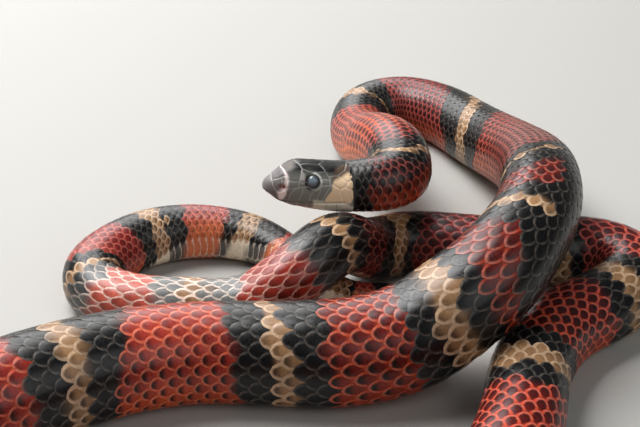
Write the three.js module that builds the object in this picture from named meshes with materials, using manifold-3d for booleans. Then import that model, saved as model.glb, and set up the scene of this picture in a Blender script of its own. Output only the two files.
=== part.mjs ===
// A milk snake at life size, lying in loose loops on a level floor with its head over its own coils.
// The body is a run of rounded sections along one route, from the nape to the tip of the tail.
import * as THREE from 'three';
import { mergeVertices } from 'three/addons/utils/BufferGeometryUtils.js';
import Module from 'manifold-3d';

const wasm = await Module();
wasm.setup();

// Driving dimensions, in millimetres and degrees
const seam = 0.3; // gap between one length of the body and the next
const sectionSides = 20;
const sectionStep = 6; // distance from one section to the next
const sampleStep = 2; // distance between the samples of the smoothed route
const smoothingPasses = 12;
const maxTurn = 72; // the most that one length of the body bends
const maxLength = 118;
const tailLength = 168; // from the vent to the tip
const headRoll = 14; // the crown leans away from the side that shows
const rollEnds = 60; // where along the neck that lean has died out

// The route's points: across, away and the height of the belly over the floor
const route = [
  // nape, neck and the first turn, resting on the coils
  [49, 38, 24.3], [57.7, 38.8, 24], [63.9, 43.5, 22.8], [65.4, 53, 23.4], [63.2, 67.5, 21.4],
  [58.8, 86, 14.5],
  // down to the floor and round the back
  [55.4, 105, 5], [53, 123, 0], [56.5, 138, 0], [70, 143.5, 0], [83.5, 135, 0], [96, 112, 2],
  // up and over the coil that lies across
  [105, 85, 8.5], [108, 57, 18], [107, 34.5, 25], [104, 15, 26.5], [97, -0.5, 24.5], [88.5, -12, 19.5],
  [77, -18.5, 11.5], [64, -22, 3],
  // the thickest stretch, along the front to the left and back
  [47, -25, 0], [27, -24.8, 0], [6, -23.8, 0], [-15, -28.3, 0], [-37, -39.3, 0], [-61, -55, 0],
  [-89, -71.5, 0], [-115.8, -86, 0], [-130.5, -103, 0], [-127.6, -122.5, 0], [-107, -135, 0],
  [-77, -137.2, 0], [-45, -128, 0], [-9, -119, 0], [27, -111, 0], [62, -98, 0], [82.5, -78, 0],
  [92.5, -54, 0],
  // the right-hand turn, under the body
  [98.8, -27, 0], [110, -6.8, 0], [125.5, 5.5, 0], [136, 18, 0], [133.5, 31, 0], [120, 36.5, 0],
  [103, 34.8, 0], [84, 38.6, 0], [66, 42, 0],
  // the hump over the hind body
  [54.4, 34.2, 1.8], [44, 20.5, 13.4], [31.5, 8.6, 9.5], [17, 5, 0.5], [-3, 5.5, 0],
  // the left-hand turn and the hind body
  [-18.5, 7.5, 0], [-29.5, 14.5, 0], [-32.4, 25.5, 0], [-26, 38, 0], [-14.5, 48, 0], [1, 51.3, 0],
  [17, 48.3, 0],
  // the tail, tucked in under the coils
  [28, 39.3, 0], [36, 29.2, 0], [43.5, 20.8, 0], [51, 18, 0], [59.5, 20, 0], [68, 22, 0],
  [77, 22.5, 0], [86, 20.2, 0], [93.5, 14.5, 0], [98.5, 7.5, 0], [100, -0.5, 0],
];

// Thickness of the body: share of the way from nape to tail tip, and diameter
const girth = [
  [0, 16.6], [0.008, 17.8], [0.02, 18.7], [0.05, 19.5], [0.09, 20.5], [0.12, 22], [0.17, 23.5],
  [0.215, 24.6], [0.236, 27], [0.25, 29.2], [0.264, 30], [0.28, 29.8], [0.293, 28.6], [0.309, 28.2],
  [0.324, 28.9], [0.34, 30], [0.4, 31], [0.51, 30.5], [0.59, 26], [0.64, 22.8], [0.69, 21.8],
  [0.74, 21.5], [0.78, 19.8], [0.82, 18.4], [0.86, 18], [0.886, 18.2], [0.9, 17.6], [0.913, 16],
  [0.924, 14], [0.943, 10], [0.9625, 6.5], [0.983, 3.5], [1, 1.6],
];

// A section in shares of its radius, rounder above and flatter along the belly
const section = { side: 1.03, up: 0.98, down: 0.92, roundAbove: 2.1, roundBelow: 2.6, pressed: 0.045 };

// The head in its own frame: forward from the nape, left, and up
const headLength = 28;
const headSides = 36;
const headShape = {
  fromSnout: [0.12, 0.5, 1.2, 2.4, 4, 6.5, 10, 14, 18, 22, 25, 28],
  halfWidth: [1.3, 2.2, 3.1, 4.1, 4.9, 5.8, 6.7, 7.4, 8.1, 8.6, 8.7, 8.55],
  middle: [1.9, 2, 2.1, 2.2, 2.2, 2.25, 2.3, 1.8, 1.15, 0.6, 0.25, 0],
  top: [1, 1.65, 2.25, 3, 4.25, 5.9, 7.3, 7.6, 7.7, 7.75, 7.9, 8.13],
  bottom: [0.5, 1, 1.65, 2.7, 4.1, 5.6, 6.9, 7.4, 7.6, 7.7, 7.65, 7.64],
  roundAbove: 2.35,
  roundBelow: 2.5,
};
const becomesNeck = [18, 28]; // where the head's roundness turns into the neck's
const headStations = 27;
const snoutRise = 0.2; // the foremost point stands this far above the middle of the snout
const mouth = {
  fromSnout: [-1, 1.2, 3.2, 5.2, 8, 14, 19, 24.5],
  height: [1.6, 0.8, -0.75, -1.8, -2.2, -2.6, -2.9, -2.9],
  open: 0.3,
  depth: 0.55,
};
const lip = { reach: 1.1, proud: 0.12, jawInset: 0.3 };
const nostril = { fromSnout: 5.6, height: 3.5, radius: 0.7 };
const eye = {
  fromSnout: 15.2, height: 4.8, long: 2.35, thick: 1.7, tall: 2.65, sunk: 0.85, turn: 8, tilt: 14,
};

const radians = THREE.MathUtils.degToRad;

// A rounded oblong in polar form, with its own roundness above and below
function rounded(angle, half, up, down, roundAbove, roundBelow) {
  const c = Math.cos(angle);
  const s = Math.sin(angle);
  const power = 2 / (s < 0 ? roundBelow : roundAbove);
  const tall = s < 0 ? down : up;
  return [Math.sign(c) * half * Math.abs(c) ** power, Math.sign(s) * tall * Math.abs(s) ** power];
}

// A smooth value through hand-set pairs, without overshoot
function along(xs, ys, x) {
  const last = xs.length - 1;
  if (x <= xs[0]) return ys[0];
  if (x >= xs[last]) return ys[last];
  const i = xs.findIndex((v) => v > x) - 1;
  const slope = (k) => (ys[k + 1] - ys[k]) / (xs[k + 1] - xs[k]);
  const tangent = (k) => {
    if (k === 0) return slope(0);
    if (k === last) return slope(last - 1);
    const product = slope(k - 1) * slope(k);
    return product <= 0 ? 0 : (2 * product) / (slope(k - 1) + slope(k));
  };
  const width = xs[i + 1] - xs[i];
  const t = (x - xs[i]) / width;
  const rise = ys[i + 1] - ys[i];
  const a = tangent(i) * width - rise;
  const b = rise - tangent(i + 1) * width;
  return ys[i] + t * rise + t * (1 - t) * (a * (1 - t) + b * t);
}

// The smoothed route as evenly spaced samples, each with its distance from the nape
function sampleRoute() {
  const curve = new THREE.CatmullRomCurve3(
    route.map((p) => new THREE.Vector3(...p)),
    false,
    'centripetal',
  );
  curve.arcLengthDivisions = 4000;
  const count = Math.round(curve.getLength() / sampleStep);
  const points = curve.getSpacedPoints(count);
  for (let pass = 0; pass < smoothingPasses; pass++) {
    const before = points.map((p) => p.clone());
    for (let i = 1; i < count; i++) {
      points[i].addVectors(before[i - 1], before[i + 1]).multiplyScalar(0.25).addScaledVector(before[i], 0.5);
    }
  }
  const at = [0];
  for (let i = 1; i <= count; i++) at.push(at[i - 1] + points[i].distanceTo(points[i - 1]));
  return { points, at };
}

const samples = sampleRoute();
const bodyLength = samples.at[samples.at.length - 1];

function radiusAt(distance) {
  return along(girth.map((g) => g[0]), girth.map((g) => g[1]), distance / bodyLength) / 2;
}

// The middle of the section at a distance from the nape
function centreAt(distance) {
  const { points, at } = samples;
  const beyond = at.findIndex((v, k) => k > 0 && v >= distance);
  const i = beyond < 0 ? at.length - 1 : beyond;
  const t = (distance - at[i - 1]) / (at[i] - at[i - 1]);
  const place = new THREE.Vector3().lerpVectors(points[i - 1], points[i], t);
  place.z += (section.down - section.pressed) * radiusAt(distance);
  return place;
}

// Tail-ward, leftward and upward directions of the section at a distance from the nape
function frameAt(distance) {
  const reach = 3;
  const back = centreAt(Math.min(distance + reach, bodyLength));
  back.sub(centreAt(Math.max(distance - reach, 0))).normalize();
  const left = new THREE.Vector3().crossVectors(back, new THREE.Vector3(0, 0, 1)).normalize();
  const lean = -radians(headRoll) * (1 - THREE.MathUtils.smoothstep(distance, 0, rollEnds));
  left.applyAxisAngle(back, lean);
  const up = new THREE.Vector3().crossVectors(left, back);
  return { back, left, up };
}

// The section's outline in space, pressed flat where it lies on the floor
function sectionAt(distance, shift) {
  const { back, left, up } = frameAt(distance);
  const centre = centreAt(distance).addScaledVector(back, shift);
  const r = radiusAt(distance);
  return Array.from({ length: sectionSides }, (_, k) => {
    const angle = (2 * Math.PI * k) / sectionSides - Math.PI / 2;
    const [x, y] = rounded(angle, section.side, section.up, section.down, section.roundAbove, section.roundBelow);
    const p = centre.clone().addScaledVector(left, x * r).addScaledVector(up, y * r);
    p.z = Math.max(p.z, 0);
    return p;
  });
}

// One closed surface over a row of rings that run anticlockwise seen from beyond the last ring
function closedLoft(rings, first, last) {
  const n = rings[0].length;
  const vertices = [...rings.flat(), first, last];
  const faces = [];
  for (let i = 0; i + 1 < rings.length; i++) {
    for (let k = 0; k < n; k++) {
      const a = i * n + k;
      const b = i * n + ((k + 1) % n);
      faces.push(a, b, b + n, a, b + n, a + n);
    }
  }
  const end = (rings.length - 1) * n;
  for (let k = 0; k < n; k++) {
    const next = (k + 1) % n;
    faces.push(vertices.length - 2, next, k);
    faces.push(vertices.length - 1, end + k, end + next);
  }
  const geometry = new THREE.BufferGeometry().setFromPoints(vertices);
  geometry.setIndex(faces);
  return geometry;
}

function middleOf(ring) {
  const sum = ring.reduce((total, p) => total.add(p), new THREE.Vector3());
  return sum.divideScalar(ring.length);
}

// A length of the body between two distances from the nape
function bodyPiece(from, to) {
  const steps = Math.max(1, Math.round((to - from) / sectionStep));
  const rings = Array.from({ length: steps + 1 }, (_, i) => {
    const distance = from + ((to - from) * i) / steps;
    const inset = i === 0 ? seam / 2 : i === steps ? -seam / 2 : 0;
    return sectionAt(distance, inset).reverse();
  });
  return closedLoft(rings, middleOf(rings[0]), middleOf(rings[steps]));
}

// Where the body is divided: at the vent, and wherever it has bent or run far enough
function divisions() {
  const vent = bodyLength - tailLength;
  const cuts = [0];
  let turned = 0;
  let before = frameAt(0).back;
  for (let d = sampleStep; d < bodyLength - sampleStep; d += sampleStep) {
    const now = frameAt(d).back;
    turned += THREE.MathUtils.radToDeg(before.angleTo(now));
    before = now;
    const since = d - cuts[cuts.length - 1];
    const atVent = Math.abs(d - vent) < sampleStep / 2;
    const tooNear = Math.min(Math.abs(d - vent), bodyLength - d) < 2 * sectionStep;
    if (atVent || ((turned > maxTurn || since > maxLength) && !tooNear)) {
      cuts.push(d);
      turned = 0;
    }
  }
  return [...cuts, bodyLength];
}

// The head's measures at a distance behind the snout, with the roundness of its section
function headAt(fromSnout) {
  const value = (key) => along(headShape.fromSnout, headShape[key], fromSnout);
  const neckShare = THREE.MathUtils.smoothstep(fromSnout, ...becomesNeck);
  const blend = (key) => THREE.MathUtils.lerp(headShape[key], section[key], neckShare);
  return {
    half: value('halfWidth'),
    middle: value('middle'),
    top: value('top'),
    bottom: value('bottom'),
    roundAbove: blend('roundAbove'),
    roundBelow: blend('roundBelow'),
  };
}

// The head's outline at a distance behind the snout, shrunk by an inset for the floor of the mouth line
function headRing(fromSnout, inset) {
  const { half, middle, top, bottom, roundAbove, roundBelow } = headAt(fromSnout);
  const sizes = [half - inset, top - inset, bottom - inset];
  const line = along(mouth.fromSnout, mouth.height, fromSnout);
  const fades = THREE.MathUtils.smoothstep(fromSnout, 0.4, 3) * (1 - THREE.MathUtils.smoothstep(fromSnout, 20, 25));
  return Array.from({ length: headSides }, (_, k) => {
    const angle = (2 * Math.PI * k) / headSides - Math.PI / 2;
    const [y, fromMiddle] = rounded(angle, ...sizes, roundAbove, roundBelow);
    const z = middle + fromMiddle;
    const above = z - line;
    const bulge = lip.proud * Math.max(0, 1 - Math.abs(above - lip.reach / 2) / lip.reach);
    const drawnIn = above < 0 ? lip.jawInset * Math.min(1, -above / mouth.open) : 0;
    const side = y + Math.sign(y) * fades * (bulge - drawnIn) * Math.min(1, Math.abs(y));
    return new THREE.Vector3(headLength - fromSnout, side, z);
  });
}

function headLoft(inset) {
  const first = headShape.fromSnout[0] + inset;
  const rings = Array.from({ length: headStations }, (_, i) => {
    const share = (i / (headStations - 1)) ** 1.6;
    return headRing(first + (headLength - first) * share, inset);
  });
  const back = headRing(headLength, inset).map((p) => p.setX(seam / 2));
  rings[headStations - 1] = back;
  const snout = new THREE.Vector3(headLength - inset, 0, headAt(0).middle + snoutRise);
  return closedLoft(rings.map((r) => r.reverse()), snout, new THREE.Vector3(seam / 2, 0, 0));
}

// The thin curved wedge of air that the closed mouth leaves, wider than the head
function mouthSlit() {
  const steps = 24;
  const reach = 14;
  const [start, end] = [mouth.fromSnout[0], mouth.fromSnout[mouth.fromSnout.length - 1]];
  const rings = Array.from({ length: steps + 1 }, (_, i) => {
    const fromSnout = start + ((end - start) * i) / steps;
    const z = along(mouth.fromSnout, mouth.height, fromSnout);
    const x = headLength - fromSnout;
    const corners = [[-reach, -1], [reach, -1], [reach, 1], [-reach, 1]];
    return corners.map(([y, s]) => new THREE.Vector3(x, y, z + (s * mouth.open) / 2));
  });
  return closedLoft(rings.map((r) => r.reverse()), middleOf(rings[0]), middleOf(rings[steps]));
}

// A solid from a closed mesh, and a mesh's geometry from a solid
function toSolid(geometry) {
  const bare = geometry.clone();
  bare.deleteAttribute('normal');
  bare.deleteAttribute('uv');
  const merged = mergeVertices(bare, 1e-5);
  return new wasm.Manifold(
    new wasm.Mesh({
      numProp: 3,
      vertProperties: merged.attributes.position.array,
      triVerts: new Uint32Array(merged.index.array),
    }),
  );
}

function toGeometry(solid) {
  const mesh = solid.getMesh();
  const geometry = new THREE.BufferGeometry();
  geometry.setAttribute('position', new THREE.BufferAttribute(mesh.vertProperties, 3));
  geometry.setIndex(new THREE.BufferAttribute(mesh.triVerts, 1));
  return geometry;
}

// Half the head's width at the height of an eye or nostril
function cheekAt(fromSnout, height) {
  const { half, middle, top, roundAbove } = headAt(fromSnout);
  return half * (1 - ((height - middle) / top) ** roundAbove) ** (1 / roundAbove);
}

// The eyeball's lens on one side of the head, or its socket when it is grown by a margin
function eyeShape(side, margin) {
  const geometry = new THREE.SphereGeometry(1, 20, 12);
  geometry.scale(eye.long + margin, eye.thick + margin, eye.tall + margin);
  geometry.rotateX(radians(eye.tilt * side));
  geometry.rotateZ(radians(-eye.turn * side));
  const y = side * (cheekAt(eye.fromSnout, eye.height) - eye.sunk);
  geometry.translate(headLength - eye.fromSnout, y, eye.height);
  return geometry;
}

function nostrilPit(side) {
  const geometry = new THREE.SphereGeometry(nostril.radius, 10, 8);
  const y = side * cheekAt(nostril.fromSnout, nostril.height);
  geometry.translate(headLength - nostril.fromSnout, y, nostril.height);
  return geometry;
}

function headGeometry() {
  let solid = toSolid(headLoft(0));
  solid = solid.subtract(toSolid(mouthSlit()).subtract(toSolid(headLoft(mouth.depth))));
  for (const side of [1, -1]) {
    solid = solid.subtract(toSolid(eyeShape(side, seam)));
    solid = solid.subtract(toSolid(nostrilPit(side)));
  }
  return toGeometry(solid);
}

function material(color, roughness) {
  return new THREE.MeshStandardMaterial({ color, roughness, metalness: 0 });
}

const finish = {
  head: material('#2b2b2d', 0.38),
  eye: material('#5d6b78', 0.12),
  neck: material('#1c1a1b', 0.4),
  body: material('#8e2a22', 0.4),
  tail: material('#7c2a20', 0.42),
};

function part(name, geometry, surface) {
  const mesh = new THREE.Mesh(geometry, surface);
  mesh.name = name;
  return mesh;
}

const twoDigits = (n) => String(n).padStart(2, '0');

function makeBody(snake) {
  const cuts = divisions();
  const vent = bodyLength - tailLength;
  const count = { body: 0, tail: 0 };
  for (let i = 0; i + 1 < cuts.length; i++) {
    const kind = cuts[i] < vent - sampleStep ? 'body' : 'tail';
    count[kind] += 1;
    let name = kind + '_' + twoDigits(count[kind]);
    if (i === 0) name = 'neck';
    if (i === cuts.length - 2) name = 'tail_tip';
    if (i === 0) count.body = 0;
    snake.add(part(name, bodyPiece(cuts[i], cuts[i + 1]), i === 0 ? finish.neck : finish[kind]));
  }
}

function makeHead(snake) {
  const { back, left, up } = frameAt(0);
  const head = new THREE.Group();
  head.quaternion.setFromRotationMatrix(
    new THREE.Matrix4().makeBasis(back.clone().negate(), left, up),
  );
  head.position.copy(centreAt(0));
  head.add(part('head', headGeometry(), finish.head));
  head.add(part('eye_left', eyeShape(1, 0), finish.eye));
  head.add(part('eye_right', eyeShape(-1, 0), finish.eye));
  snake.add(head);
}

const snake = new THREE.Group();
makeHead(snake);
makeBody(snake);

export default snake;
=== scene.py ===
import math
from functools import partial

import bpy
import numpy as np
from mathutils import Euler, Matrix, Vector
from mathutils.kdtree import KDTree


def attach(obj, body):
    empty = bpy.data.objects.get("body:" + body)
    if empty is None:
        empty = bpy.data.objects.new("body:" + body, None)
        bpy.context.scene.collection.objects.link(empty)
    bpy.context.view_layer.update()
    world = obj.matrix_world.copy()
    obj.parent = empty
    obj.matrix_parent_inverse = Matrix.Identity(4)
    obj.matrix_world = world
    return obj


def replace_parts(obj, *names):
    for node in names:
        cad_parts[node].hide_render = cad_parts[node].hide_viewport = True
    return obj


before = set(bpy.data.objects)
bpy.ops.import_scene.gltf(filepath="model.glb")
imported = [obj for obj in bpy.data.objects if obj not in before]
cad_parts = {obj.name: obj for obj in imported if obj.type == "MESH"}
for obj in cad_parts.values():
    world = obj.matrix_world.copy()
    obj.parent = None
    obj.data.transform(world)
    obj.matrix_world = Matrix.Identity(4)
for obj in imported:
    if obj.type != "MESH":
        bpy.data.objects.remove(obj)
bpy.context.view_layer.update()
bpy.ops.object.select_all(action="DESELECT")
print("frame loaded with", len(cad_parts), "nodes")

# camera and room, metres
photoView = {
    "place": (0.039, -0.3747, 0.260),
    "tilt": 60.0,  # degrees from straight down
    "lens": 85.0,
    "sensor": 36.0,
}


def makeCamera():
    bpy.ops.object.camera_add(
        location=photoView["place"], rotation=(math.radians(photoView["tilt"]), 0, 0)
    )
    camera = bpy.context.object
    camera.data.lens = photoView["lens"]
    camera.data.sensor_width = photoView["sensor"]
    camera.data.clip_start = 0.01
    bpy.context.scene.camera = camera


makeCamera()


# sRGB hex to linear
def colour(code):
    parts = [int(code[k : k + 2], 16) / 255 for k in (1, 3, 5)]
    return [c / 12.92 if c <= 0.04045 else ((c + 0.055) / 1.055) ** 2.4 for c in parts]


# adds a node with its settings by input or property name and its links by input,
# and gives back its outputs
def addNode(tree, kind, settings=None, links=None):
    node = tree.nodes.new("ShaderNode" + kind)
    for name, value in (settings or {}).items():
        if isinstance(name, int) or name in node.inputs:
            node.inputs[name].default_value = value
        else:
            setattr(node, name, value)
    for name, source in (links or {}).items():
        tree.links.new(source, node.inputs[name])
    return node.outputs


# an empty material, with addNode for its nodes
def newMaterial(name):
    material = bpy.data.materials.new(name)
    material.use_nodes = True
    material.node_tree.nodes.clear()
    return material, partial(addNode, material.node_tree)


# body line and girth, millimetres, as in the solids
body = {
    "route": [
        (49, 38, 24.3), (57.7, 38.8, 24.0), (63.9, 43.5, 22.8), (65.4, 53, 23.4),
        (63.2, 67.5, 21.4), (58.8, 86, 14.5), (55.4, 105, 5), (53, 123, 0), (56.5, 138, 0),
        (70, 143.5, 0), (83.5, 135, 0), (96, 112, 2), (105, 85, 8.5), (108, 57, 18),
        (107, 34.5, 25), (104, 15, 26.5), (97, -0.5, 24.5), (88.5, -12, 19.5), (77, -18.5, 11.5),
        (64, -22, 3), (47, -25, 0), (27, -24.8, 0), (6, -23.8, 0), (-15, -28.3, 0),
        (-37, -39.3, 0), (-61, -55, 0), (-89, -71.5, 0), (-115.8, -86, 0), (-130.5, -103, 0),
        (-127.6, -122.5, 0), (-107, -135, 0), (-77, -137.2, 0), (-45, -128, 0), (-9, -119, 0),
        (27, -111, 0), (62, -98, 0), (82.5, -78, 0), (92.5, -54, 0), (98.8, -27, 0),
        (110, -6.8, 0), (125.5, 5.5, 0), (136, 18, 0), (133.5, 31, 0), (120, 36.5, 0),
        (103, 34.8, 0), (84, 38.6, 0), (66, 42, 0), (54.4, 34.2, 1.8), (44, 20.5, 13.4),
        (31.5, 8.6, 9.5), (17, 5, 0.5), (-3, 5.5, 0), (-18.5, 7.5, 0), (-29.5, 14.5, 0),
        (-32.4, 25.5, 0), (-26, 38, 0), (-14.5, 48, 0), (1, 51.3, 0), (17, 48.3, 0),
        (28, 39.3, 0), (36, 29.2, 0), (43.5, 20.8, 0), (51, 18, 0), (59.5, 20, 0), (68, 22, 0),
        (77, 22.5, 0), (86, 20.2, 0), (93.5, 14.5, 0), (98.5, 7.5, 0), (100, -0.5, 0),
    ],
    "girth": [  # share of the length, diameter
        (0, 16.6), (0.008, 17.8), (0.02, 18.7), (0.05, 19.5), (0.09, 20.5), (0.12, 22),
        (0.17, 23.5), (0.215, 24.6), (0.236, 27), (0.25, 29.2), (0.264, 30), (0.28, 29.8),
        (0.293, 28.6), (0.309, 28.2), (0.324, 28.9), (0.34, 30), (0.4, 31), (0.51, 30.5),
        (0.59, 26), (0.64, 22.8), (0.69, 21.8), (0.74, 21.5), (0.78, 19.8), (0.82, 18.4),
        (0.86, 18), (0.886, 18.2), (0.9, 17.6), (0.913, 16), (0.924, 14), (0.943, 10),
        (0.9625, 6.5), (0.983, 3.5), (1, 1.6),
    ],
    "side": 1.03, "up": 0.98, "down": 0.92,
    "roundAbove": 2.1, "roundBelow": 2.6, "pressed": 0.045,
    "sampleStep": 2.0, "smoothingPasses": 12,
    "headRoll": 14.0, "rollEnds": 60.0,
}


# a curve through values at knots, with no overshoot
def along(knots, values, x):
    knots, values = np.asarray(knots, float), np.asarray(values, float)
    slope = np.diff(values) / np.diff(knots)
    tangent = np.zeros(len(knots))
    tangent[0], tangent[-1] = slope[0], slope[-1]
    for k in range(1, len(knots) - 1):
        product = slope[k - 1] * slope[k]
        tangent[k] = 0 if product <= 0 else 2 * product / (slope[k - 1] + slope[k])
    x = np.clip(np.asarray(x, float), knots[0], knots[-1])
    i = np.clip(np.searchsorted(knots, x, side="right") - 1, 0, len(knots) - 2)
    width = knots[i + 1] - knots[i]
    t = (x - knots[i]) / width
    rise = values[i + 1] - values[i]
    a = tangent[i] * width - rise
    b = rise - tangent[i + 1] * width
    return values[i] + t * rise + t * (1 - t) * (a * (1 - t) + b * t)


def smooth(low, high, x):
    t = np.clip((np.asarray(x, float) - low) / (high - low), 0, 1)
    return t * t * (3 - 2 * t)


# centripetal curve through the route, sampled evenly and evened out
def bodyLine():
    points = np.array(body["route"], float)
    n = 60
    t = (np.arange(n) / n)[:, None]
    pieces = []
    for i in range(len(points) - 1):
        b, c = points[i], points[i + 1]
        a = points[i - 1] if i else 2 * b - c
        d = points[i + 2] if i + 2 < len(points) else 2 * c - b
        ab, bc, cd = (np.linalg.norm(p - q) ** 0.5 for p, q in ((a, b), (b, c), (c, d)))
        first = ((b - a) / ab - (c - a) / (ab + bc) + (c - b) / bc) * bc
        last = ((c - b) / bc - (d - b) / (bc + cd) + (d - c) / cd) * bc
        pieces.append(
            b + first * t + (3 * (c - b) - 2 * first - last) * t**2
            + (2 * (b - c) + first + last) * t**3
        )
    dense = np.vstack(pieces + [points[-1:]])
    run = np.r_[0, np.cumsum(np.linalg.norm(np.diff(dense, axis=0), axis=1))]
    count = int(round(run[-1] / body["sampleStep"]))
    even = np.linspace(0, run[-1], count + 1)
    line = np.stack([np.interp(even, run, dense[:, k]) for k in range(3)], 1)
    for _ in range(body["smoothingPasses"]):
        line[1:-1] = 0.25 * line[:-2] + 0.5 * line[1:-1] + 0.25 * line[2:]
    run = np.r_[0, np.cumsum(np.linalg.norm(np.diff(line, axis=0), axis=1))]
    return line, run


line, run = bodyLine()
bodyLength = run[-1]


def radiusAt(s):
    share, size = zip(*body["girth"])
    return along(share, size, np.clip(s, 0, bodyLength) / bodyLength) / 2


def middleAt(s):
    inside = np.clip(s, 0, bodyLength)
    centre = np.stack([np.interp(inside, run, line[:, k]) for k in range(3)], -1)
    centre[..., 2] += (body["down"] - body["pressed"]) * radiusAt(inside)
    return centre


# back, left and up at a distance s behind the nape
def framesAt(s):
    s = np.asarray(s, float)
    back = middleAt(np.minimum(s + 3, bodyLength)) - middleAt(np.maximum(s - 3, 0))
    back /= np.linalg.norm(back, axis=-1)[..., None]
    left = np.cross(back, [0, 0, 1.0])
    left /= np.linalg.norm(left, axis=-1)[..., None]
    lean = -math.radians(body["headRoll"]) * (1 - smooth(0, body["rollEnds"], s))
    left = left * np.cos(lean)[..., None] + np.cross(back, left) * np.sin(lean)[..., None]
    return back, left, np.cross(left, back)


def roundedAt(angle, half, up, down, roundAbove, roundBelow):
    c, s = np.cos(angle), np.sin(angle)
    power = np.where(s < 0, 2 / roundBelow, 2 / roundAbove)
    tall = np.where(s < 0, down, up)
    y = np.sign(c) * half * np.abs(c) ** power
    return np.where(np.abs(c) < 1e-9, 0, y), np.sign(s) * tall * np.abs(s) ** power


# the unit section by share of its perimeter: 0 along the back, 1 and -1 under the belly
def unitTable():
    angle = np.linspace(np.pi / 2, -np.pi / 2, 2001)
    y, z = roundedAt(
        angle, body["side"], body["up"], body["down"], body["roundAbove"], body["roundBelow"]
    )
    length = np.r_[0, np.cumsum(np.hypot(np.diff(y), np.diff(z)))]
    return length, y, z


unitLength, unitY, unitZ = unitTable()
halfPerimeter = unitLength[-1]


def unitAt(q):
    q = (np.asarray(q) + 1) % 2 - 1
    f = np.abs(q) * halfPerimeter
    return np.sign(q) * np.interp(f, unitLength, unitY), np.interp(f, unitLength, unitZ)


# a point of the body's surface, lift millimetres off it
def bodyPoint(s, q, lift):
    s, q, lift = np.broadcast_arrays(*(np.asarray(v, float) for v in (s, q, lift)))
    centre = middleAt(s)
    back, left, up = framesAt(np.clip(s, 0, bodyLength))
    centre = centre + back * (s - np.clip(s, 0, bodyLength))[..., None]
    r = radiusAt(s)
    y, z = unitAt(q)
    ya, za = unitAt(q - 0.001)
    yb, zb = unitAt(q + 0.001)
    ny, nz = za - zb, yb - ya
    norm = np.hypot(ny, nz) + 1e-12
    ny, nz = ny / norm, nz / norm
    turned = np.where(ny * y + nz * z < 0, -1, 1)
    ny, nz = ny * turned, nz * turned
    return centre + left * (y * r + ny * lift)[..., None] + up * (z * r + nz * lift)[..., None]


# head, millimetres, as in the solids: h runs back from the snout
head = {
    "length": 28.0,
    "fromSnout": [0.12, 0.5, 1.2, 2.4, 4, 6.5, 10, 14, 18, 22, 25, 28],
    "halfWidth": [1.3, 2.2, 3.1, 4.1, 4.9, 5.8, 6.7, 7.4, 8.1, 8.6, 8.7, 8.55],
    "middle": [1.9, 2.0, 2.1, 2.2, 2.2, 2.25, 2.3, 1.8, 1.15, 0.6, 0.25, 0],
    "top": [1.0, 1.65, 2.25, 3.0, 4.25, 5.9, 7.3, 7.6, 7.7, 7.75, 7.9, 8.13],
    "bottom": [0.5, 1.0, 1.65, 2.7, 4.1, 5.6, 6.9, 7.4, 7.6, 7.7, 7.65, 7.64],
    "roundAbove": 2.35, "roundBelow": 2.5, "becomesNeck": (18, 28),
    "reach": 31.0, "gridStep": 0.1, "gridSides": 240,
}


# the head's plain surface on a fine grid of h and share of the perimeter, with its normals
def headTables():
    h = np.arange(0, head["reach"] + 1e-6, head["gridStep"])
    f = np.linspace(-1, 1, head["gridSides"] + 1)
    angle = np.linspace(np.pi / 2, -np.pi / 2, 361)
    blendIn = smooth(*head["becomesNeck"], h)
    points = np.zeros((len(h), len(f), 3))
    for i, distance in enumerate(h):
        half, middle, top, bottom = (
            float(along(head["fromSnout"], head[k], distance))
            for k in ("halfWidth", "middle", "top", "bottom")
        )
        above = head["roundAbove"] + (body["roundAbove"] - head["roundAbove"]) * blendIn[i]
        below = head["roundBelow"] + (body["roundBelow"] - head["roundBelow"]) * blendIn[i]
        y, z = roundedAt(angle, half, top, bottom, above, below)
        length = np.r_[0, np.cumsum(np.hypot(np.diff(y), np.diff(z)))]
        share = np.abs(f) * length[-1]
        points[i, :, 0] = head["length"] - distance
        points[i, :, 1] = np.sign(f) * np.interp(share, length, y)
        points[i, :, 2] = np.interp(share, length, z) + middle
    normals = np.cross(np.gradient(points, axis=1), np.gradient(points, axis=0))
    normals /= np.linalg.norm(normals, axis=-1)[..., None] + 1e-12
    normals[:, 0] = normals[:, -1] = [0, 0, -1]
    return points, normals


headPoints, headNormals = headTables()


def gridAt(table, h, f):
    x = np.clip(np.asarray(h, float) / head["gridStep"], 0, table.shape[0] - 1.001)
    f = (np.asarray(f, float) + 1) % 2
    y = np.clip(f / 2 * head["gridSides"], 0, head["gridSides"] - 0.001)
    i, j = x.astype(int), y.astype(int)
    x, y = (x - i)[..., None], (y - j)[..., None]
    return (
        table[i, j] * (1 - x) * (1 - y) + table[i + 1, j] * x * (1 - y)
        + table[i, j + 1] * (1 - x) * y + table[i + 1, j + 1] * x * y
    )


def headLocal(h, f, lift=0.0):
    lift = np.asarray(lift, float)
    return gridAt(headPoints, h, f) + gridAt(headNormals, h, f) * lift[..., None]


def headToWorld(local):
    back, left, up = framesAt(0.0)
    return middleAt(0.0) - local[..., :1] * back + local[..., 1:2] * left + local[..., 2:] * up


# the whole animal's surface: s is negative on the head
def surfacePoint(s, q, lift):
    s, q, lift = np.broadcast_arrays(*(np.asarray(v, float) for v in (s, q, lift)))
    points = bodyPoint(s, q, lift)
    ahead = s < 0
    if ahead.any():
        points[ahead] = headToWorld(headLocal(head["length"] + s[ahead], q[ahead], lift[ahead]))
    return points


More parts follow.
